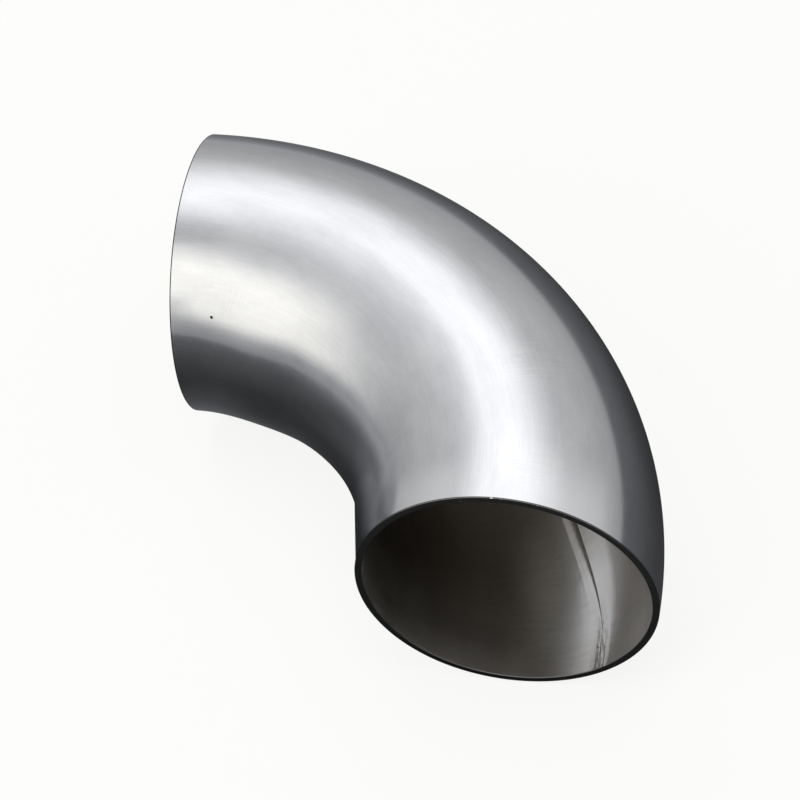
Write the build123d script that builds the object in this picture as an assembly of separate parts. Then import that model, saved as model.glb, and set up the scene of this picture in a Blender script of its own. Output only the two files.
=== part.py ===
"""Butt-welding pipe elbow: 90 degrees, long radius, DN 80 (NPS 3), Schedule 5S, stainless steel.

The elbow is formed from one length of tube, and that tube is strip rolled up and welded along its
length. So it has two physical pieces: the formed wall, whose section is open at the seam, and the
weld that closes it. The weld is ground flush outside and keeps its raised root inside.

Frame: the elbow lies flat, +Z up, with the origin under the middle of its bounding box. One end
faces -Y and the other faces -X. The bend's own axis is upright. Angles round the tube's section
start at the outside of the bend and are positive towards the top.
"""
import math
import os

from build123d import *

# The fitting, in mm and degrees
OUTSIDE_DIAMETER = 88.9
WALL = 2.11
CENTRE_TO_END = 114.3  # from an end face to the centre line of the other end
BEND = 90.0
LAND = 2.0  # straight run behind each end face, where the end is sized round
DEBURR = 0.3  # chamfer that takes the burr off both edges of a cut end

# The seam weld, in mm and degrees
SEAM_ANGLE = -56.0  # on the underside, between the bottom and the outside of the bend
FUSED_WIDTH_OUTSIDE = 4.0
FUSED_WIDTH_INSIDE = 3.0
ROOT_LAP = 0.4  # how far each toe of the raised root lies on the wall beside the fused metal
ROOT_HEIGHT = 0.6
ROOT_BACK_OFF = 0.3  # the root stops this short of each end's deburred edge

CUT_CLEAR = 1.0  # how far a cutting shape passes the faces that it cuts

# Worked out from the sizes above
outer_radius = OUTSIDE_DIAMETER / 2
bore_radius = outer_radius - WALL
bend_radius = CENTRE_TO_END - LAND
# The box runs from an end face, which is LAND behind the bend's axis, to the outside of the bend
axis_to_middle = (bend_radius + outer_radius - LAND) / 2


def along_bend(section, land):
    """Carry a section, drawn across the tube, round the bend and along a straight at each end.

    The section's own origin is the tube's centre line, with x pointing away from the bend's axis.
    """
    start = Plane.XZ * Pos(bend_radius, 0) * section
    finish = Rot(0, 0, BEND) * start
    bent = revolve(start, Axis.Z, BEND)
    before = extrude(start, land, dir=(0, -1, 0))
    after = extrude(finish, land, dir=(-1, 0, 0))
    return before + bent + after


def fused_section():
    """The weld's wedge through the wall, wider outside, and passing both of the wall's faces."""
    slope = (FUSED_WIDTH_OUTSIDE - FUSED_WIDTH_INSIDE) / WALL / 2
    half_out = FUSED_WIDTH_OUTSIDE / 2 + slope * CUT_CLEAR
    half_in = FUSED_WIDTH_INSIDE / 2 - slope * CUT_CLEAR
    far = outer_radius + CUT_CLEAR
    near = bore_radius - CUT_CLEAR
    corners = [(far, -half_out), (far, half_out), (near, half_in), (near, -half_in)]
    return Rot(0, 0, SEAM_ANGLE) * make_face(Polyline(*corners, close=True))


def root_section():
    """The raised root: a low arch that leaves the bore at one toe and meets it at the other."""
    half = FUSED_WIDTH_INSIDE / 2 + ROOT_LAP
    toe = math.sqrt(bore_radius**2 - half**2)
    crown = bore_radius - ROOT_HEIGHT
    arch = ThreePointArc((toe, -half), (crown, 0), (toe, half))
    back = ThreePointArc((toe, half), (bore_radius, 0), (toe, -half))
    return Rot(0, 0, SEAM_ANGLE) * make_face([arch, back])


def make_wall():
    """The whole tube wall, before its seam is taken out, with both ends deburred."""
    ring = Circle(outer_radius) - Circle(bore_radius)
    wall = along_bend(Rot(0, 0, SEAM_ANGLE) * ring, LAND)
    rims = wall.edges().filter_by(GeomType.CIRCLE)
    front_rims = rims.group_by(Axis.Y)[0]
    left_rims = rims.group_by(Axis.X)[0]
    return chamfer(front_rims + left_rims, DEBURR)


def make_pieces():
    wall = make_wall()
    fused = along_bend(fused_section(), LAND + CUT_CLEAR)
    root = along_bend(root_section(), LAND - DEBURR - ROOT_BACK_OFF)
    return {
        "elbow_body": wall - fused,
        "seam_weld": (wall & fused) + root,
    }


os.makedirs("parts", exist_ok=True)
to_frame = Pos(-axis_to_middle, -axis_to_middle, outer_radius)
for name, piece in make_pieces().items():
    placed = to_frame * piece
    placed.label = name
    export_step(placed, f"parts/{name}.step")
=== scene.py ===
"""Studio scene for a 90 degree long radius pipe elbow: wall, seam weld, their finishes and the light."""
import math

import bmesh
import bpy
from mathutils import Matrix, Vector, noise


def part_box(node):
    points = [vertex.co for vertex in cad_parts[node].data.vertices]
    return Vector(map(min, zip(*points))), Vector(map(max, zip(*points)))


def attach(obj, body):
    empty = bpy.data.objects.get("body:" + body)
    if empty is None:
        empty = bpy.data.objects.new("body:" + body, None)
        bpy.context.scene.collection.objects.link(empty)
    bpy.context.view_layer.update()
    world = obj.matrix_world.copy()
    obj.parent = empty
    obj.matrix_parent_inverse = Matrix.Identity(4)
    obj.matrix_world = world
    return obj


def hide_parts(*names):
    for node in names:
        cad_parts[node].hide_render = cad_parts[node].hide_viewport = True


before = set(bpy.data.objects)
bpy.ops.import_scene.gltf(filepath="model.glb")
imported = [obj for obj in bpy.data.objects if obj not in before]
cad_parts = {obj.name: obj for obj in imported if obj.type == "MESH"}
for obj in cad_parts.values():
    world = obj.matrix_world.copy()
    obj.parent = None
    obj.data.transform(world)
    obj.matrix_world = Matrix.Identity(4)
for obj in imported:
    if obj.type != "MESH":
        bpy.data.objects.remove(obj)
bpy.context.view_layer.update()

MM = 0.001

# ---- the fitting's own sizes, in metres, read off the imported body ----
BODY_LOW, BODY_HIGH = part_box("elbow_body")
WALL = 2.11 * MM
LAND = 2.0 * MM                    # short straight run at each end
DEBURR = 0.15 * MM
OUTER_RADIUS = (BODY_HIGH.z - BODY_LOW.z) / 2
BORE_RADIUS = OUTER_RADIUS - WALL
MID_RADIUS = OUTER_RADIUS - WALL / 2
BEND_AXIS = Vector((BODY_LOW.x + LAND, BODY_LOW.y + LAND, BODY_LOW.z + OUTER_RADIUS))
BEND_RADIUS = BODY_HIGH.x - OUTER_RADIUS - BEND_AXIS.x
BEND = math.radians(90)
BEND_RUN = BEND * BEND_RADIUS
HALF_RUN = BEND * BEND_RADIUS / 2  # from the middle of the elbow to where a land starts

# ---- flats left in the crook where the ends were pressed to size: creased in front, soft at the left ----
FRONT_FLAT = math.radians(22)
FRONT_DRAWN_IN = 0.3 * MM
LEFT_FLAT = math.radians(32)
LEFT_DRAWN_IN = 0.9 * MM
LEFT_STAND = 0.95 * MM
MOUTH = BEND_AXIS + Vector((BEND_RADIUS, -LAND, 0))      # centre of the front end

# ---- the seam weld ----
SEAM_AT_END = math.radians(-56.2)      # round the tube, from the outside of the bend
SEAM_DRIFT = math.radians(-5.3)        # how far it strays towards the underside in the bend
DRIFT_START = math.radians(5.5)
DRIFT_RUN = math.radians(18)
FUSED_HALF_OUTSIDE = 2.0 * MM / OUTER_RADIUS
FUSED_HALF_INSIDE = 1.5 * MM / BORE_RADIUS
TOE_HALF = 2.2 * MM / BORE_RADIUS
ROOT_SUNK = 0.05 * MM                  # the root's underside lies this deep in the wall
ROOT_DRESSED = 0.09 * MM               # height left where the ends were dressed
ROOT_FULL = 0.34 * MM                  # height as welded
DRESSED_TO = 13 * MM                   # from the end, where the dressing starts to fade
FULL_FROM = 42 * MM
FLANK_DRESSED = 0.22                   # width of the steep flank, as a share of the root's half width
FLANK_FULL = 0.78
TOE_SUNK = 0.004 * MM                  # keeps the root's thin edges out of sight in the wall
SWELL_PITCH = 11 * MM                  # slow rise and fall of the root's height
SWELL_SHARE = 0.15
RIPPLE_PITCH = 1.1 * MM                # one scale of the weld
RIPPLE_HEIGHT = 0.006 * MM
RIPPLE_BOW = 0.9                       # how far a scale's middle runs ahead of its sides, in pitches
RIPPLE_WANDER = 9 * MM                 # over this run the pitch drifts
LUMP_PITCH = 2.2 * MM
LUMP_HEIGHT = 0.012 * MM
GRIT_PITCH = 0.8 * MM                  # left by the dressing tool at the ends
GRIT_HEIGHT = 0.014 * MM
BEHIND_SEAM = 70 * MM                  # how far round the tube is counted backwards from the seam

# ---- the paper floor: its own colour, and the light it shows to the eye ----
FLOOR_COLOUR = "#5A5A59"
FLOOR_LIFT = 0.875

# ---- how finely the shapes are divided ----
ROUND_STEPS = 192
BEND_STEPS = 96
WELD_BEND_STEPS = 560
ARCH_STEPS = 32                        # even, so that one row lies on the crest


# ---------------------------------------------------------------- shapes

def radial(angle):
    """Direction from the tube's centre at the front end, turned up from the outside of the bend."""
    return Vector((math.cos(angle), 0, math.sin(angle)))


def all_of(bm):
    return bm.verts[:] + bm.edges[:] + bm.faces[:]


def carry_round_bend(bm, bend_steps, land_steps):
    """Sweeps the section that lies on the front end along the land, the bend and the far land."""
    section = all_of(bm)
    legs = (
        (Vector((0, LAND / land_steps, 0)), 0, land_steps),
        (Vector((0, 0, 0)), BEND, bend_steps),
        (Vector((-LAND / land_steps, 0, 0)), 0, land_steps),
    )
    for move, turn, steps in legs:
        swept = bmesh.ops.spin(
            bm, geom=section, cent=BEND_AXIS, axis=(0, 0, 1), dvec=move, angle=turn, steps=steps
        )
        section = swept["geom_last"]


def place_of(point):
    """Where a point is on the tube: angle round the bend, run along it, angle round the tube, radius."""
    out = point - BEND_AXIS
    if out.y < 0:
        turn, run, reach = 0.0, out.y, out.x
    elif out.x < 0:
        turn, run, reach = BEND, BEND_RUN - out.x, out.y
    else:
        turn = math.atan2(out.y, out.x)
        run, reach = turn * BEND_RADIUS, math.hypot(out.x, out.y)
    return turn, run, math.atan2(out.z, reach - BEND_RADIUS), math.hypot(reach - BEND_RADIUS, out.z)


def point_at(turn, run, angle, radius):
    """The reverse of place_of."""
    reach = BEND_RADIUS + radius * math.cos(angle)
    height = radius * math.sin(angle)
    if run < 0:
        return BEND_AXIS + Vector((reach, run, height))
    if run > BEND_RUN:
        return BEND_AXIS + Vector((BEND_RUN - run, reach, height))
    return BEND_AXIS + Vector((reach * math.cos(turn), reach * math.sin(turn), height))


def seam_drift(turn):
    """The seam runs straight at the ends and strays a little as the tube bends."""
    inward = min(turn, BEND - turn)
    share = min(max((inward - DRIFT_START) / DRIFT_RUN, 0), 1)
    return SEAM_DRIFT * math.sin(math.pi / 2 * share) ** 1.2


def crook_flat(turn, angle):
    """How far the skin stands out in the crook, beside the true bend, where an end was pressed to size."""
    inside = -math.cos(angle)
    share = 2 * inside - 1
    if share <= 0:
        return 0
    if turn > BEND / 2:
        gone = min((BEND - turn) / LEFT_FLAT, 1)
        return share * (LEFT_STAND * math.sin(math.pi * gone) ** 2 - LEFT_DRAWN_IN * (1 - gone) ** 2)
    flat = FRONT_FLAT * share
    if turn >= flat:
        return 0
    chord = 1 - math.cos(flat / 2) / math.cos(turn - flat / 2)
    stand = (BEND_RADIUS - OUTER_RADIUS * inside) * chord * inside
    return stand - FRONT_DRAWN_IN * share * (1 - turn / flat)


def lay_on_tube(bm, shape):
    """Gives each ring its shape, turns it to the seam's drift, and stores run, distance round and radius."""
    stored = bm.verts.layers.float_vector.new("place")
    for vert in bm.verts:
        turn, run, angle, radius = place_of(vert.co)
        from_seam = (angle - SEAM_AT_END + math.pi) % math.tau - math.pi
        from_seam, radius = shape(run, from_seam, radius)
        drifted = from_seam + seam_drift(turn)
        stand = crook_flat(turn, SEAM_AT_END + drifted)
        vert.co = point_at(turn, run, SEAM_AT_END + drifted, radius + stand)
        vert[stored] = (run, drifted * OUTER_RADIUS, radius)


def finish_mesh(bm, name, sharp, materials):
    """Closes a bmesh into an object at the origin. Its materials: the outside, the bore, the ends."""
    outside_slot, bore_slot, end_slot = range(3)
    stored = bm.verts.layers.float_vector["place"]
    bmesh.ops.remove_doubles(bm, verts=bm.verts[:], dist=1e-7)
    bmesh.ops.recalc_face_normals(bm, faces=bm.faces[:])
    for edge in bm.edges:
        edge.smooth = edge.calc_face_angle(0) < sharp
    for face in bm.faces:
        face.smooth = True
        run, _, radius = sum((v[stored] for v in face.verts), Vector()) / len(face.verts)
        if max(-run, run - BEND_RUN) > LAND - DEBURR:
            face.material_index = end_slot
        elif radius < BORE_RADIUS + ROOT_SUNK:
            face.material_index = bore_slot
        else:
            face.material_index = outside_slot
    mesh = bpy.data.meshes.new(name)
    bm.to_mesh(mesh)
    bm.free()
    for material in materials:
        mesh.materials.append(material)
    piece = bpy.data.objects.new(name, mesh)
    bpy.context.scene.collection.objects.link(piece)
    return piece


def make_wall(materials):
    """The pipe's wall: a ring open at the seam, carried round the bend, its ends deburred."""
    bm = bmesh.new()
    start = SEAM_AT_END + FUSED_HALF_OUTSIDE
    inner = bm.verts.new(MOUTH + radial(start) * BORE_RADIUS)
    outer = bm.verts.new(MOUTH + radial(start) * OUTER_RADIUS)
    bm.edges.new((inner, outer))
    bmesh.ops.spin(
        bm, geom=all_of(bm), cent=MOUTH, axis=(0, -1, 0), angle=math.tau - 2 * FUSED_HALF_OUTSIDE,
        steps=ROUND_STEPS,
    )
    carry_round_bend(bm, BEND_STEPS, 2)
    rims = [
        e for e in bm.edges
        if e.calc_face_angle(0) > 1 and all(
            abs(place_of(v.co)[3] - MID_RADIUS) > WALL / 4 for v in e.verts
        ) and abs(place_of(e.verts[0].co)[1] - place_of(e.verts[1].co)[1]) < 1e-6
    ]
    bmesh.ops.bevel(
        bm, geom=rims, offset=DEBURR, offset_type="OFFSET", segments=1, profile=0.5,
        affect="EDGES", material=-1,
    )

    half_turn = math.pi
    widen = (half_turn - FUSED_HALF_INSIDE) / (half_turn - FUSED_HALF_OUTSIDE)

    def meet_fusion_line(run, from_seam, radius):
        """The fusion faces lean: the gap at the bore is narrower than at the outside."""
        inwards = (OUTER_RADIUS - radius) / WALL
        stretch = 1 + (widen - 1) * inwards
        return half_turn + (from_seam % math.tau - half_turn) * stretch, radius

    lay_on_tube(bm, meet_fusion_line)
    return finish_mesh(bm, "elbow_wall", math.radians(15), materials)


def make_seam_weld(materials):
    """The fused strip through the wall, flush outside, with the raised, rippled root in the bore."""
    bm = bmesh.new()
    for half, radius, steps in (
        (FUSED_HALF_OUTSIDE, OUTER_RADIUS, 6), (TOE_HALF, BORE_RADIUS, ARCH_STEPS)
    ):
        first = bm.verts.new(MOUTH + radial(SEAM_AT_END - half) * radius)
        bmesh.ops.spin(bm, geom=[first], cent=MOUTH, axis=(0, -1, 0), angle=2 * half, steps=steps)
    loose = sorted((v for v in bm.verts if len(v.link_edges) == 1), key=lambda v: place_of(v.co)[3])
    for side in (-1, 1):
        toe, outside = (
            next(v for v in pair if (place_of(v.co)[2] - SEAM_AT_END) * side > 0)
            for pair in (loose[:2], loose[2:])
        )
        back = BORE_RADIUS + ROOT_SUNK
        under_toe = bm.verts.new(MOUTH + radial(SEAM_AT_END + side * TOE_HALF) * back)
        corner = bm.verts.new(MOUTH + radial(SEAM_AT_END + side * FUSED_HALF_INSIDE) * back)
        for ends in ((toe, under_toe), (under_toe, corner), (corner, outside)):
            bm.edges.new(ends)
    bmesh.ops.contextual_create(bm, geom=bm.edges[:])
    carry_round_bend(bm, WELD_BEND_STEPS, 8)

    def settle(run, from_seam, radius):
        """The root has one steep flank and one gentle one, with scales, and is dressed flat at the ends."""
        from_end = min(run, BEND_RUN - run) + LAND
        if from_end < DEBURR / 2:
            # the rims of the strip are deburred like the wall's
            if radius > MID_RADIUS:
                return from_seam, radius - DEBURR
            return from_seam, radius + DEBURR + (BORE_RADIUS - radius) * 0.7
        if radius > BORE_RADIUS + ROOT_SUNK / 2:
            return from_seam, radius
        row = min(max(from_seam / TOE_HALF, -1), 1)
        grown = min(max((from_end - DRESSED_TO) / (FULL_FROM - DRESSED_TO), 0), 1)
        crest = ROOT_DRESSED + (ROOT_FULL - ROOT_DRESSED) * grown
        flank = FLANK_DRESSED + (FLANK_FULL - FLANK_DRESSED) * grown
        if row > 0:
            across = 1 - flank * (1 - row)
            lie = 1 - row ** 2.2
        else:
            across = (2 - flank) * (row + 1) - 1
            lie = math.sin(math.pi / 2 * (row + 1)) ** 2
        # the loose numbers in the places read only keep the noises apart
        swell = noise.noise(Vector((run / SWELL_PITCH, 0, 5.5)))
        bow = RIPPLE_PITCH * RIPPLE_BOW * across ** 2
        wander = noise.noise(Vector((run / RIPPLE_WANDER, 3.1, 0)))
        scales = math.sin(math.tau * (run + bow) / RIPPLE_PITCH + 2.2 * wander)
        lumps = noise.noise(Vector((run / LUMP_PITCH, across * 1.8, 7.7)))
        grit = noise.noise(Vector((run / GRIT_PITCH, across * 2.6, 1.3)))
        crown = math.cos(math.pi / 2 * across) ** 2
        height = crest * lie * (1 + SWELL_SHARE * swell) - TOE_SUNK
        rough = RIPPLE_HEIGHT * scales * grown + LUMP_HEIGHT * lumps + GRIT_HEIGHT * (1 - grown) * grit
        height += crown * rough
        return across * TOE_HALF, BORE_RADIUS - height

    lay_on_tube(bm, settle)

    return finish_mesh(bm, "seam_weld_bead", math.radians(30), materials)


# ---------------------------------------------------------------- finishes

def linear(code):
    """An sRGB hex colour as linear RGBA."""
    parts = [int(code[i:i + 2], 16) / 255 for i in (1, 3, 5)]
    return [c / 12.92 if c <= 0.04045 else ((c + 0.055) / 1.055) ** 2.4 for c in parts] + [1.0]


def add(tree, kind, inputs, **settings):
    """Adds one node. An input takes a value, a node (its first output) or a (node, output) pair."""
    node = tree.nodes.new(kind)
    for name, value in settings.items():
        setattr(node, name, value)
    for socket, value in inputs.items():
        if isinstance(value, bpy.types.Node):
            value = (value, 0)
        if isinstance(value, tuple) and isinstance(value[0], bpy.types.Node):
            tree.links.new(value[0].outputs[value[1]], node.inputs[socket])
        else:
            node.inputs[socket].default_value = value
    return node


def new_material(name):
    """An empty material and its node tree."""
    material = bpy.data.materials.new(name)
    material.use_nodes = True
    material.node_tree.nodes.clear()
    return material, material.node_tree


def skin_scale(along, around):
    """Scale that makes a pattern's features so many millimetres along the run and round the tube."""
    return (1000 / along, 1000 / around, 50)


def spot_on_skin(tree, skin, run, round_tube, half_run, half_round):
    """1 in the middle of a spot, fading to 0 at its edge; all in millimetres on the tube's skin."""
    moved = add(
        tree, "ShaderNodeMapping",
        {
            "Vector": skin,
            "Location": (-run / half_run, -round_tube / half_round, 0),
            "Scale": (1000 / half_run, 1000 / half_round, 0),
        },
    )
    far = add(tree, "ShaderNodeVectorMath", {0: moved}, operation="LENGTH")
    return add(
        tree, "ShaderNodeMapRange",
        {"Value": (far, "Value"), "From Min": 0.3, "From Max": 1.0, "To Min": 1.0, "To Max": 0.0},
        interpolation_type="SMOOTHSTEP",
    )


def read_place(tree):
    """The stored place, counted round the tube from the seam both ways; its run; that distance round."""
    place = add(tree, "ShaderNodeAttribute", {}, attribute_name="place")
    stored = add(tree, "ShaderNodeSeparateXYZ", {"Vector": (place, "Vector")})
    around = add(
        tree, "ShaderNodeMath",
        {0: (stored, "Y"), 1: math.tau * OUTER_RADIUS - BEHIND_SEAM, 2: -BEHIND_SEAM}, operation="WRAP",
    )
    skin = add(tree, "ShaderNodeCombineXYZ", {"X": stored, "Y": around, "Z": (stored, "Z")})
    return skin, stored, around


def distance_from_middle(tree, run):
    """How far along the run it is from the middle of the elbow, to either end."""
    past = add(tree, "ShaderNodeMath", {0: run, 1: HALF_RUN}, operation="SUBTRACT")
    return add(tree, "ShaderNodeMath", {0: past}, operation="ABSOLUTE")


def satin_outside():
    """Austenitic stainless steel, cold formed, belt polished: soft long reflections, grain along the run."""
    material, tree = new_material("satin_polished_stainless_steel")
    skin, run, around = read_place(tree)

    # belt grit leaves lines near 0.05 mm wide; they are drawn 0.45 mm wide so that they show
    grain = add(
        tree, "ShaderNodeTexNoise",
        {
            "Vector": add(tree, "ShaderNodeMapping", {"Vector": skin, "Scale": skin_scale(13, 0.5)}),
            "Scale": 1.0, "Detail": 3.0, "Roughness": 0.6,
        },
    )
    cloud = add(
        tree, "ShaderNodeTexNoise",
        {
            "Vector": add(tree, "ShaderNodeMapping", {"Vector": skin, "Scale": skin_scale(24, 11)}),
            "Scale": 1.0, "Detail": 5.0, "Roughness": 0.6,
        },
    )
    forming = add(
        tree, "ShaderNodeTexNoise",
        {
            "Vector": add(
                tree, "ShaderNodeMapping",
                {"Vector": skin, "Location": (8, 5.6, 0), "Scale": skin_scale(40, 18)},
            ),
            "Scale": 1.0, "Detail": 1.0, "Roughness": 0.4,
        },
    )
    # strokes of a hand pad across the grain, thickest where the fitting was touched up
    strokes = add(
        tree, "ShaderNodeTexNoise",
        {
            "Vector": add(tree, "ShaderNodeMapping", {"Vector": skin, "Scale": skin_scale(0.6, 9)}),
            "Scale": 1.0, "Detail": 2.0, "Roughness": 0.55,
        },
    )
    rubbed = 0.15
    for spot in ((46, 98, 13, 17), (9, 102, 9, 14), (31, 149, 12, 9), (8, 151, 9, 10), (150, 153, 12, 9)):
        rubbed = add(
            tree, "ShaderNodeMath", {0: spot_on_skin(tree, skin, *spot), 1: rubbed}, operation="MAXIMUM"
        )
    # the pad's strokes, up and down from the mean, laid over the belt's grain
    lined = add(
        tree, "ShaderNodeMath",
        {0: add(tree, "ShaderNodeMath", {0: strokes, 1: 0.5}, operation="SUBTRACT"), 1: rubbed},
        operation="MULTIPLY",
    )
    scratched = add(tree, "ShaderNodeMath", {0: lined, 1: 1.6, 2: grain}, operation="MULTIPLY_ADD")

    # handling specks, one to each 34 mm square, four in ten of them too small to be there
    cells = add(tree, "ShaderNodeMapping", {"Vector": skin, "Scale": skin_scale(34, 34)})
    speck = add(tree, "ShaderNodeTexVoronoi", {"Vector": cells, "Scale": 1.0})
    pick = add(tree, "ShaderNodeSeparateColor", {"Color": (speck, "Color")})
    size = add(tree, "ShaderNodeMath", {0: pick, 1: 0.034, 2: -0.014}, operation="MULTIPLY_ADD")
    specks = add(tree, "ShaderNodeMath", {0: (speck, "Distance"), 1: size}, operation="LESS_THAN")
    pit = spot_on_skin(tree, skin, 158.8, 158.4, 0.9, 0.6)
    marked = add(
        tree, "ShaderNodeMath",
        {0: add(tree, "ShaderNodeMath", {0: specks, 1: 0.45}, operation="MULTIPLY"), 1: pit},
        operation="MAXIMUM",
    )

    tone = add(
        tree, "ShaderNodeMapRange",
        {"Value": cloud, "From Min": 0.35, "From Max": 0.65, "To Min": 0.0, "To Max": 1.0},
        interpolation_type="SMOOTHSTEP",
    )
    clean = add(
        tree, "ShaderNodeMix", {"Factor": tone, 6: linear("#C5C5C5"), 7: linear("#CFCFCE")}, data_type="RGBA"
    )
    streak = add(
        tree, "ShaderNodeMapRange",
        {"Value": scratched, "From Min": 0.3, "From Max": 0.7, "To Min": 0.0, "To Max": 1.0},
    )
    streaked = add(
        tree, "ShaderNodeMix",
        {"Factor": streak, 6: linear("#BEBEBE"), 7: linear("#D6D6D5")}, data_type="RGBA",
    )
    brushed = add(tree, "ShaderNodeMix", {"Factor": 0.22, 6: (clean, 2), 7: (streaked, 2)}, data_type="RGBA")
    # painted highlight: the skin is painted lighter near the front end, short of the crown, up to a sharp
    # edge in the crook and less towards the outside of the bend
    front = add(
        tree, "ShaderNodeMapRange",
        {"Value": run, "From Min": 1 * MM, "From Max": 20 * MM, "To Min": 1.0, "To Max": 0.0},
        interpolation_type="SMOOTHSTEP",
    )
    crown = spot_on_skin(tree, skin, 0, 114, 200, 17)
    off_crown = add(tree, "ShaderNodeMath", {0: 1.0, 1: crown}, operation="SUBTRACT")
    off_flat = add(
        tree, "ShaderNodeMapRange",
        {"Value": around, "From Min": 144.5 * MM, "From Max": 147.5 * MM, "To Min": 1.0, "To Max": 0.0},
        interpolation_type="SMOOTHSTEP",
    )
    off_outside = add(
        tree, "ShaderNodeMapRange",
        {"Value": around, "From Min": 77 * MM, "From Max": 84 * MM, "To Min": 0.0, "To Max": 0.75},
        interpolation_type="SMOOTHSTEP",
    )
    # polished is the mask of the painted highlight near the front end
    polished = front
    for limit in (off_crown, off_flat, off_outside):
        polished = add(tree, "ShaderNodeMath", {0: polished, 1: limit}, operation="MULTIPLY")
    brighter = add(
        tree, "ShaderNodeMix", {"Factor": polished, 6: (brushed, 2), 7: linear("#E9E9E8")}, data_type="RGBA"
    )
    # painted shade: a darker patch on the crook near the front end, beyond the sharp edge
    dull = add(
        tree, "ShaderNodeMath",
        {0: spot_on_skin(tree, skin, 2, 150.5, 24, 6.5), 1: 0.75}, operation="MULTIPLY",
    )
    dulled = add(
        tree, "ShaderNodeMix",
        {
            "Factor": add(
                tree, "ShaderNodeMath",
                {0: dull, 1: add(tree, "ShaderNodeMath", {0: 1.0, 1: off_flat}, operation="SUBTRACT")},
                operation="MULTIPLY",
            ),
            6: (brighter, 2), 7: linear("#A2A2A2"),
        },
        data_type="RGBA",
    )
    # painted shade: the outside's last few tenths of a millimetre at each end are painted dark
    from_middle = distance_from_middle(tree, run)
    burnt = add(
        tree, "ShaderNodeMapRange",
        {
            "Value": from_middle, "From Min": HALF_RUN + LAND - 0.40 * MM,
            "From Max": HALF_RUN + LAND - 0.34 * MM, "To Min": 0.0, "To Max": 1.0,
        },
    )
    edged = add(
        tree, "ShaderNodeMix", {"Factor": burnt, 6: (dulled, 2), 7: linear("#353432")}, data_type="RGBA"
    )
    colour = add(
        tree, "ShaderNodeMix", {"Factor": marked, 6: (edged, 2), 7: linear("#3B3A38")}, data_type="RGBA"
    )
    rough = add(
        tree, "ShaderNodeMapRange",
        {"Value": cloud, "From Min": 0.3, "From Max": 0.7, "To Min": 0.13, "To Max": 0.18},
    )
    waves = add(tree, "ShaderNodeBump", {"Height": forming, "Strength": 1.0, "Distance": 0.10 * MM})
    lines = add(
        tree, "ShaderNodeBump",
        {"Height": scratched, "Normal": waves, "Strength": 1.0, "Distance": 0.006 * MM},
    )
    sunk = add(
        tree, "ShaderNodeBump",
        {"Height": pit, "Normal": lines, "Strength": 1.0, "Distance": 0.25 * MM}, invert=True,
    )
    steel = add(
        tree, "ShaderNodeBsdfPrincipled",
        {"Base Color": (colour, 2), "Roughness": rough, "Normal": sunk, "Metallic": 1.0},
    )
    add(tree, "ShaderNodeOutputMaterial", {"Surface": steel})
    return material


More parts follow.
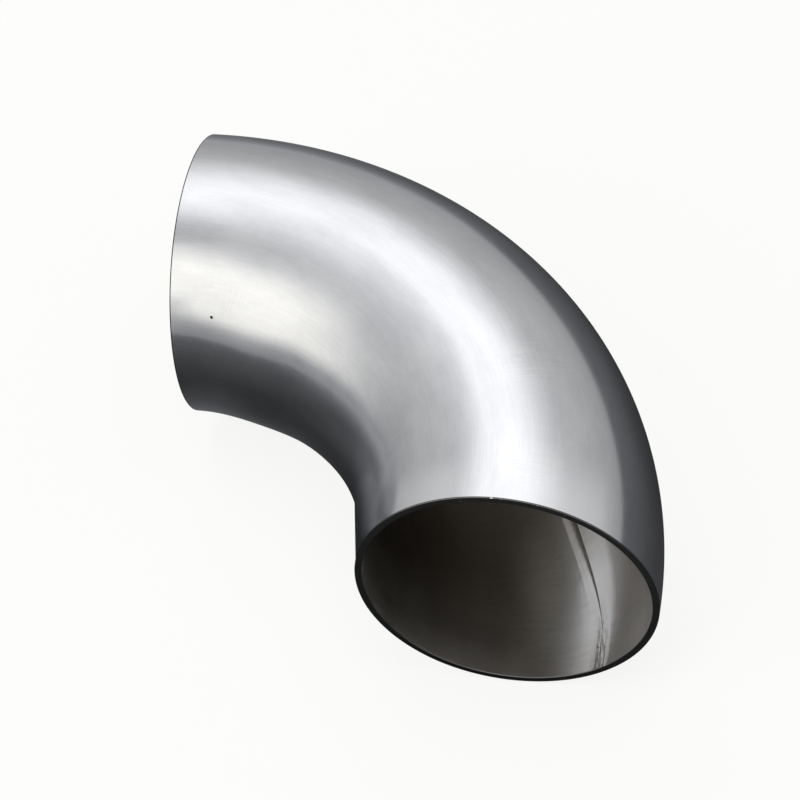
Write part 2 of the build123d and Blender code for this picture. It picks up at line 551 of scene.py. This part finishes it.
def pickled_steel(name, scale_depth):
    """The same steel as drawn, welded and acid pickled: duller and warmer, with rings from the mandrel;
    painted highlight beside the weld and at the mouth, painted shade deeper in.
    """
    material, tree = new_material(name)
    skin, run, around = read_place(tree)
    from_middle = distance_from_middle(tree, run)
    cloud = add(
        tree, "ShaderNodeTexNoise",
        {
            "Vector": add(
                tree, "ShaderNodeMapping",
                {"Vector": skin, "Location": (5, 3.5, 0), "Scale": skin_scale(26, 9)},
            ),
            "Scale": 1.0, "Detail": 4.0, "Roughness": 0.55,
        },
    )
    tone = add(
        tree, "ShaderNodeMapRange",
        {"Value": cloud, "From Min": 0.3, "From Max": 0.7, "To Min": 0.0, "To Max": 1.0},
        interpolation_type="SMOOTHSTEP",
    )
    shallow = add(
        tree, "ShaderNodeMix", {"Factor": tone, 6: linear("#B0ADA8"), 7: linear("#BCBAB5")}, data_type="RGBA"
    )
    # painted shade: the bore is painted darker deeper in
    depth = add(
        tree, "ShaderNodeMapRange",
        {
            "Value": from_middle, "From Min": HALF_RUN - 40 * MM, "From Max": HALF_RUN - 8 * MM,
            "To Min": 1.0, "To Max": 0.0,
        },
    )
    deep = add(
        tree, "ShaderNodeMix", {"Factor": depth, 6: (shallow, 2), 7: linear("#9B958D")}, data_type="RGBA"
    )
    # painted highlight: the strip beside the weld is painted lighter, fading deeper in
    near_side = add(
        tree, "ShaderNodeMapRange",
        {"Value": around, "From Min": -30 * MM, "From Max": -14 * MM, "To Min": 0.0, "To Max": 1.0},
        interpolation_type="SMOOTHSTEP",
    )
    far_side = add(
        tree, "ShaderNodeMapRange",
        {"Value": around, "From Min": 5.5 * MM, "From Max": 9 * MM, "To Min": 1.0, "To Max": 0.4},
        interpolation_type="SMOOTHSTEP",
    )
    beyond = add(
        tree, "ShaderNodeMapRange",
        {"Value": around, "From Min": 9 * MM, "From Max": 34 * MM, "To Min": 1.0, "To Max": 0.0},
    )
    within_reach = add(
        tree, "ShaderNodeMapRange",
        {
            "Value": from_middle, "From Min": HALF_RUN - 54 * MM, "From Max": HALF_RUN - 26 * MM,
            "To Min": 0.0, "To Max": 1.0,
        },
    )
    brushed = near_side
    for limit in (far_side, beyond, within_reach):
        brushed = add(tree, "ShaderNodeMath", {0: brushed, 1: limit}, operation="MULTIPLY")
    # mixes in the painted highlight beside the weld
    clean = add(
        tree, "ShaderNodeMix", {"Factor": brushed, 6: (deep, 2), 7: linear("#E4E3E0")}, data_type="RGBA"
    )
    # painted light: the last few millimetres of the bore, at the opening, are painted lighter
    lip = add(
        tree, "ShaderNodeMapRange",
        {
            "Value": from_middle, "From Min": HALF_RUN - 10 * MM, "From Max": HALF_RUN + LAND,
            "To Min": 0.0, "To Max": 1.0,
        },
    )
    colour = add(
        tree, "ShaderNodeMix", {"Factor": lip, 6: (clean, 2), 7: linear("#D6D3CE")}, data_type="RGBA"
    )
    dull = add(
        tree, "ShaderNodeMapRange",
        {"Value": cloud, "From Min": 0.3, "From Max": 0.7, "To Min": 0.32, "To Max": 0.38},
    )
    # the brush smoothed the strip only close to the weld
    close_to_weld = add(
        tree, "ShaderNodeMapRange",
        {"Value": around, "From Min": -12 * MM, "From Max": -1 * MM, "To Min": 0.0, "To Max": 1.0},
    )
    smooth = add(tree, "ShaderNodeMath", {0: brushed, 1: close_to_weld}, operation="MULTIPLY")
    rough = add(tree, "ShaderNodeMix", {"Factor": smooth, 2: dull, 3: 0.22})
    rings = add(
        tree, "ShaderNodeTexNoise",
        {
            "Vector": add(tree, "ShaderNodeMapping", {"Vector": skin, "Scale": skin_scale(2.4, 9)}),
            "Scale": 1.0, "Detail": 3.0, "Roughness": 0.6,
        },
    )
    # near the ends the bore is shaded as if the edge of the rolled strip rose a little towards the weld
    rise = add(
        tree, "ShaderNodeMapRange",
        {"Value": around, "From Min": -18 * MM, "From Max": -3 * MM, "To Min": 0.0, "To Max": 1.0},
        interpolation_type="SMOOTHSTEP",
    )
    near_the_end = add(
        tree, "ShaderNodeMapRange",
        {
            "Value": from_middle, "From Min": HALF_RUN - 30 * MM, "From Max": HALF_RUN - 6 * MM,
            "To Min": 0.0, "To Max": 1.0,
        },
        interpolation_type="SMOOTHSTEP",
    )
    peaked = add(tree, "ShaderNodeMath", {0: rise, 1: near_the_end}, operation="MULTIPLY")
    strip_edge = add(tree, "ShaderNodeBump", {"Height": peaked, "Strength": 1.0, "Distance": 0.38 * MM})
    ridges = add(
        tree, "ShaderNodeBump",
        {"Height": rings, "Normal": strip_edge, "Strength": 1.0, "Distance": 0.09 * MM},
    )
    # crusts of scale and spatter left beside the weld near the end
    crust = add(
        tree, "ShaderNodeTexNoise",
        {
            "Vector": add(tree, "ShaderNodeMapping", {"Vector": skin, "Scale": skin_scale(3.0, 1.4)}),
            "Scale": 1.0, "Detail": 2.0, "Roughness": 0.5,
        },
    )
    crusted = add(
        tree, "ShaderNodeMath", {0: crust, 1: spot_on_skin(tree, skin, 3, 3.2, 22, 3.0)}, operation="MULTIPLY"
    )
    scaly = add(
        tree, "ShaderNodeBump",
        {"Height": crusted, "Normal": ridges, "Strength": 1.0, "Distance": scale_depth},
    )
    steel = add(
        tree, "ShaderNodeBsdfPrincipled",
        {"Base Color": (colour, 2), "Roughness": rough, "Normal": scaly, "Metallic": 1.0},
    )
    add(tree, "ShaderNodeOutputMaterial", {"Surface": steel})
    return material


def sawn_end():
    """The same steel as cut and faced square, with fine turning marks; its colour is painted dark and even as
    shade, with specks painted bright as glints of burr.
    """
    material, tree = new_material("faced_steel_end_painted_dark_with_glints")
    skin = read_place(tree)[0]
    turned = add(
        tree, "ShaderNodeMapping",
        {"Vector": skin, "Scale": (1 / (20 * MM), 1 / (25 * MM), 1 / (0.3 * MM))},
    )
    marks = add(tree, "ShaderNodeTexNoise", {"Vector": turned, "Scale": 1.0, "Detail": 2.0})
    cells = add(
        tree, "ShaderNodeMapping",
        {"Vector": skin, "Scale": (1 / (2 * MM), 1 / (6 * MM), 1 / (2 * MM))},
    )
    burr = add(tree, "ShaderNodeTexVoronoi", {"Vector": cells, "Scale": 1.0})
    near = add(tree, "ShaderNodeMath", {0: (burr, "Distance"), 1: 0.07}, operation="LESS_THAN")
    # the face is painted dark as shade
    plain = add(
        tree, "ShaderNodeMix", {"Factor": marks, 6: linear("#5C5B59"), 7: linear("#72716E")}, data_type="RGBA"
    )
    # bright specks painted as glints of burr
    colour = add(
        tree, "ShaderNodeMix", {"Factor": near, 6: (plain, 2), 7: linear("#E6E6E4")}, data_type="RGBA"
    )
    ridges = add(tree, "ShaderNodeBump", {"Height": marks, "Strength": 1.0, "Distance": 0.01 * MM})
    steel = add(
        tree, "ShaderNodeBsdfPrincipled",
        {"Base Color": (colour, 2), "Normal": ridges, "Metallic": 1.0, "Roughness": 0.28},
    )
    add(tree, "ShaderNodeOutputMaterial", {"Surface": steel})
    return material


# ---------------------------------------------------------------- studio

def opening(tree, strength, *edges):
    """Light inside every edge given. An edge is: what is measured, where it is half, softness, inner side."""
    light = strength
    for measured, halfway, soft, side in edges:
        share = add(
            tree, "ShaderNodeMapRange",
            {
                "Value": measured, "From Min": halfway - side * soft / 2,
                "From Max": halfway + side * soft / 2, "To Min": 0.0, "To Max": 1.0,
            },
            interpolation_type="SMOOTHSTEP",
        )
        light = add(tree, "ShaderNodeMath", {0: share, 1: light}, operation="MULTIPLY")
    return light


def tent_cloth():
    """Light coming through the cloth of a light tent, with a lamp in front, one behind and one above."""
    material, tree = new_material("tent_cloth")
    material.cycles.emission_sampling = "NONE"
    where = add(tree, "ShaderNodeTexCoord", {})
    lifted = add(
        tree, "ShaderNodeVectorMath", {0: (where, "Object"), 1: (0, 0, 0.05)}, operation="SUBTRACT"
    )
    unit = add(tree, "ShaderNodeVectorMath", {0: lifted}, operation="NORMALIZE")
    parts = add(tree, "ShaderNodeSeparateXYZ", {"Vector": unit})
    # azimuth in degrees, 0 towards -Y and -90 towards -X, counted on past +Y as far as +X
    front = add(tree, "ShaderNodeMath", {0: (parts, "Y"), 1: -1.0}, operation="MULTIPLY")
    turn = add(tree, "ShaderNodeMath", {0: (parts, "X"), 1: front}, operation="ARCTAN2")
    degrees = add(tree, "ShaderNodeMath", {0: turn}, operation="DEGREES")
    past = add(tree, "ShaderNodeMath", {0: degrees, 1: 90.0}, operation="GREATER_THAN")
    azimuth = add(tree, "ShaderNodeMath", {0: past, 1: -360.0, 2: degrees}, operation="MULTIPLY_ADD")
    tilt = add(tree, "ShaderNodeMath", {0: (parts, "Z")}, operation="ARCSINE")
    elevation = add(tree, "ShaderNodeMath", {0: tilt}, operation="DEGREES")

    # the lamps hang at a slant: the front one's left side leans, its foot and head climb to the right;
    # every edge below is in degrees of azimuth or elevation
    left = add(tree, "ShaderNodeMath", {0: elevation, 1: -0.19, 2: azimuth}, operation="MULTIPLY_ADD")
    foot = add(tree, "ShaderNodeMath", {0: azimuth, 1: -0.12, 2: elevation}, operation="MULTIPLY_ADD")
    head = add(tree, "ShaderNodeMath", {0: azimuth, 1: -0.36, 2: elevation}, operation="MULTIPLY_ADD")
    back_foot = add(tree, "ShaderNodeMath", {0: azimuth, 1: 0.244, 2: elevation}, operation="MULTIPLY_ADD")
    front_light = opening(
        tree, 0.85, (left, -87.8, 49, 1), (azimuth, 22, 14, -1), (foot, 11.8, 14, 1), (head, 73.5, 34, -1)
    )
    # a flag dims the front lamp low on its right
    flag = opening(tree, 0.6, (azimuth, -28, 20, 1), (elevation, 23.5, 10, -1))
    back_light = opening(
        tree, 0.97, (azimuth, -217, 65, 1), (azimuth, -153.5, 40, -1), (back_foot, -4.3, 32, 1),
        (elevation, 67, 14, -1),
    )
    roof_light = opening(
        tree, 1.4, (azimuth, -157, 17, 1), (azimuth, -117, 100, -1), (elevation, 56.4, 42, 1)
    )
    side_light = opening(
        tree, 0.6, (azimuth, 32, 25, 1), (azimuth, 82, 15, -1), (elevation, 15, 20, 1),
        (elevation, 55, 20, -1),
    )

    low_cloth = add(
        tree, "ShaderNodeMapRange",
        {"Value": elevation, "From Min": -5.0, "From Max": 45.0, "To Min": 0.465, "To Max": 0.84},
    )
    high_cloth = add(
        tree, "ShaderNodeMapRange",
        {"Value": elevation, "From Min": 45.0, "From Max": 80.0, "To Min": 0.0, "To Max": -0.10},
    )
    shaded = add(
        tree, "ShaderNodeMath",
        {0: front_light, 1: add(tree, "ShaderNodeMath", {0: 1.0, 1: flag}, operation="SUBTRACT")},
        operation="MULTIPLY",
    )
    total = low_cloth
    for light in (high_cloth, shaded, back_light, roof_light, side_light):
        total = add(tree, "ShaderNodeMath", {0: total, 1: light}, operation="ADD")
    colour = add(
        tree, "ShaderNodeMix", {"Factor": shaded, 6: linear("#FAFBFF"), 7: linear("#FFFEFA")},
        data_type="RGBA",
    )
    light = add(tree, "ShaderNodeEmission", {"Strength": total, "Color": (colour, 2)})
    add(tree, "ShaderNodeOutputMaterial", {"Surface": light})
    return material


def table_cloth():
    """The dark table the fitting stands on, seen only in reflections; its glow paints the light on it: dim
    near the fitting, a pool of spilt light, brighter away from it, and paler ground beyond its near edge.
    """
    material, tree = new_material("dark_table_cloth")
    material.cycles.emission_sampling = "NONE"
    where = add(tree, "ShaderNodeTexCoord", {})
    spot = (where, "Object")
    reach = add(tree, "ShaderNodeVectorMath", {0: spot}, operation="LENGTH")
    from_spill = add(
        tree, "ShaderNodeVectorMath", {0: spot, 1: (-0.098, 0.080, 0)}, operation="DISTANCE"
    )
    backwards = add(tree, "ShaderNodeVectorMath", {0: spot, 1: (-0.885, 0.466, 0)}, operation="DOT_PRODUCT")
    to_edge = add(tree, "ShaderNodeVectorMath", {0: spot, 1: (-0.93, -0.37, 0)}, operation="DOT_PRODUCT")
    on_edge = add(tree, "ShaderNodeVectorMath", {0: spot, 1: (-0.37, 0.93, 0)}, operation="DOT_PRODUCT")

    # 0.17 x (1 - exp(-(reach - 0.052) / 0.131)), never below 0.022, with distances in metres
    power = add(tree, "ShaderNodeMath", {0: (reach, "Value"), 1: -7.63, 2: 0.397}, operation="MULTIPLY_ADD")
    fall = add(tree, "ShaderNodeMath", {0: power}, operation="EXPONENT")
    rise = add(tree, "ShaderNodeMath", {0: fall, 1: -0.17, 2: 0.17}, operation="MULTIPLY_ADD")
    near = add(tree, "ShaderNodeMath", {0: rise, 1: 0.022}, operation="MAXIMUM")
    spill = opening(tree, 0.30, ((from_spill, "Value"), 0.062, 0.124, -1))
    far = opening(tree, 0.34, ((backwards, "Value"), 0.303, 0.43, 1))
    table = near
    for light in (spill, far):
        table = add(tree, "ShaderNodeMath", {0: table, 1: light}, operation="ADD")
    hem = opening(
        tree, 0.34, ((to_edge, "Value"), 0.420, 0.03, -1), ((on_edge, "Value"), -0.09, 0.15, 1),
        ((on_edge, "Value"), 0.32, 0.20, -1),
    )
    ground = add(tree, "ShaderNodeMath", {0: hem, 1: 0.44}, operation="ADD")
    beyond = opening(tree, 1.0, ((to_edge, "Value"), 0.406, 0.012, 1))
    value = add(tree, "ShaderNodeMix", {"Factor": beyond, 2: table, 3: ground})
    light = add(tree, "ShaderNodeEmission", {"Strength": value, "Color": linear("#F3F7FF")})
    add(tree, "ShaderNodeOutputMaterial", {"Surface": light})
    return material


def seen_only_in_gloss(obj):
    """Part of the studio that polished metal reflects, but that lights and hides nothing else."""
    obj.visible_camera = False
    obj.visible_diffuse = False
    obj.visible_shadow = False
    obj.visible_volume_scatter = False


def stage_mesh(name, make, material):
    """A smooth piece of the studio."""
    bm = bmesh.new()
    make(bm)
    mesh = bpy.data.meshes.new(name)
    bm.to_mesh(mesh)
    bm.free()
    mesh.materials.append(material)
    for polygon in mesh.polygons:
        polygon.use_smooth = True
    obj = bpy.data.objects.new(name, mesh)
    bpy.context.scene.collection.objects.link(obj)
    return obj


def seen_by_eye_or_gloss(tree):
    """1 for a ray from the camera and for what metal or glass shows, else 0."""
    path = add(tree, "ShaderNodeLightPath", {})
    seen = add(
        tree, "ShaderNodeMath", {0: (path, "Is Camera Ray"), 1: (path, "Is Glossy Ray")}, operation="MAXIMUM"
    )
    return add(
        tree, "ShaderNodeMath", {0: seen, 1: (path, "Is Transmission Ray")}, operation="MAXIMUM"
    )


def paper_floor():
    """Matt white paper: it takes the fitting's soft shadow and otherwise shows as the pale background."""
    material, tree = new_material("matt_white_paper")
    strength = add(
        tree, "ShaderNodeMath", {0: seen_by_eye_or_gloss(tree), 1: FLOOR_LIFT}, operation="MULTIPLY"
    )
    paper = add(tree, "ShaderNodeBsdfDiffuse", {"Color": linear(FLOOR_COLOUR)})
    lift = add(tree, "ShaderNodeEmission", {"Strength": strength, "Color": linear("#FFFFFD")})
    both = add(tree, "ShaderNodeAddShader", {0: paper, 1: lift})
    add(tree, "ShaderNodeOutputMaterial", {"Surface": both})
    return material


def build_studio():
    """Paper floor, dark table, light tent, the air of the room and three softboxes. Places are in metres."""
    floor = stage_mesh(
        "floor", lambda bm: bmesh.ops.create_grid(bm, x_segments=1, y_segments=1, size=8), paper_floor()
    )
    floor.data.transform(Matrix.Translation((0, 0, -0.5 * MM)))

    table = stage_mesh(
        "table", lambda bm: bmesh.ops.create_circle(bm, cap_ends=True, segments=64, radius=1.6), table_cloth()
    )
    table.data.transform(Matrix.Translation((0, 0, -0.25 * MM)))
    seen_only_in_gloss(table)

    tent = stage_mesh(
        "light_tent",
        lambda bm: bmesh.ops.create_uvsphere(bm, u_segments=96, v_segments=48, radius=1.5),
        tent_cloth(),
    )
    seen_only_in_gloss(tent)

    world = bpy.data.worlds.new("studio_air")
    bpy.context.scene.world = world
    world.use_nodes = True
    tree = world.node_tree
    tree.nodes.clear()
    strength = add(tree, "ShaderNodeMix", {"Factor": seen_by_eye_or_gloss(tree), 2: 0.45, 3: 1.0})
    air = add(tree, "ShaderNodeBackground", {"Strength": strength, "Color": linear("#FDFDFC")})
    add(tree, "ShaderNodeOutputWorld", {"Surface": air})

    for name, place, size, watts in (
        ("front_softbox", (-0.75, -0.75, 1.0), 0.9, 7.5),
        ("back_softbox", (-0.35, 1.0, 1.1), 0.8, 4.2),
        ("roof_softbox", (0.15, 0.0, 1.5), 1.2, 7.5),
    ):
        lamp = bpy.data.lights.new(name, "AREA")
        lamp.shape = "SQUARE"
        lamp.size = size
        lamp.energy = watts
        obj = bpy.data.objects.new(name, lamp)
        obj.location = place
        obj.rotation_mode = "QUATERNION"
        obj.rotation_quaternion = Vector(place).to_track_quat("Z", "Y")
        obj.visible_glossy = False
        obj.visible_camera = False
        bpy.context.scene.collection.objects.link(obj)


def aim_camera():
    """A long lens from above the front end, held a little askew."""
    azimuth, elevation, roll = (math.radians(a) for a in (16.56, 49.664, -8.379))
    distance = 0.8533
    target = BEND_AXIS + Vector((0.06918, 0.06633, 0))      # inside the tube, near the middle of the bend
    back = Vector((
        math.sin(azimuth) * math.cos(elevation),
        -math.cos(azimuth) * math.cos(elevation),
        math.sin(elevation),
    ))
    level = (-back).cross(Vector((0, 0, 1))).normalized()
    raised = level.cross(-back)
    right = level * math.cos(roll) + raised * math.sin(roll)
    up = raised * math.cos(roll) - level * math.sin(roll)
    lens = bpy.data.cameras.new("camera")
    lens.sensor_width = 36
    lens.lens = 125.9
    lens.clip_start = 0.05
    lens.clip_end = 20
    camera = bpy.data.objects.new("camera", lens)
    bpy.context.scene.collection.objects.link(camera)
    camera.rotation_mode = "QUATERNION"
    camera.location = target + back * distance
    camera.rotation_quaternion = Matrix((right, up, back)).transposed().to_quaternion()
    bpy.context.scene.camera = camera


# ---------------------------------------------------------------- the scene

outside, ends = satin_outside(), sawn_end()
bore = pickled_steel("pickled_stainless_steel_bore", 0.16 * MM)
root = pickled_steel("pickled_weld_metal", 0.20 * MM)

wall = make_wall([outside, bore, ends])
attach(wall, "root")
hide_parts("elbow_body")

weld = make_seam_weld([outside, root, ends])
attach(weld, "root")
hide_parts("seam_weld")

build_studio()
aim_camera()
bpy.context.scene.view_settings.view_transform = "Standard"
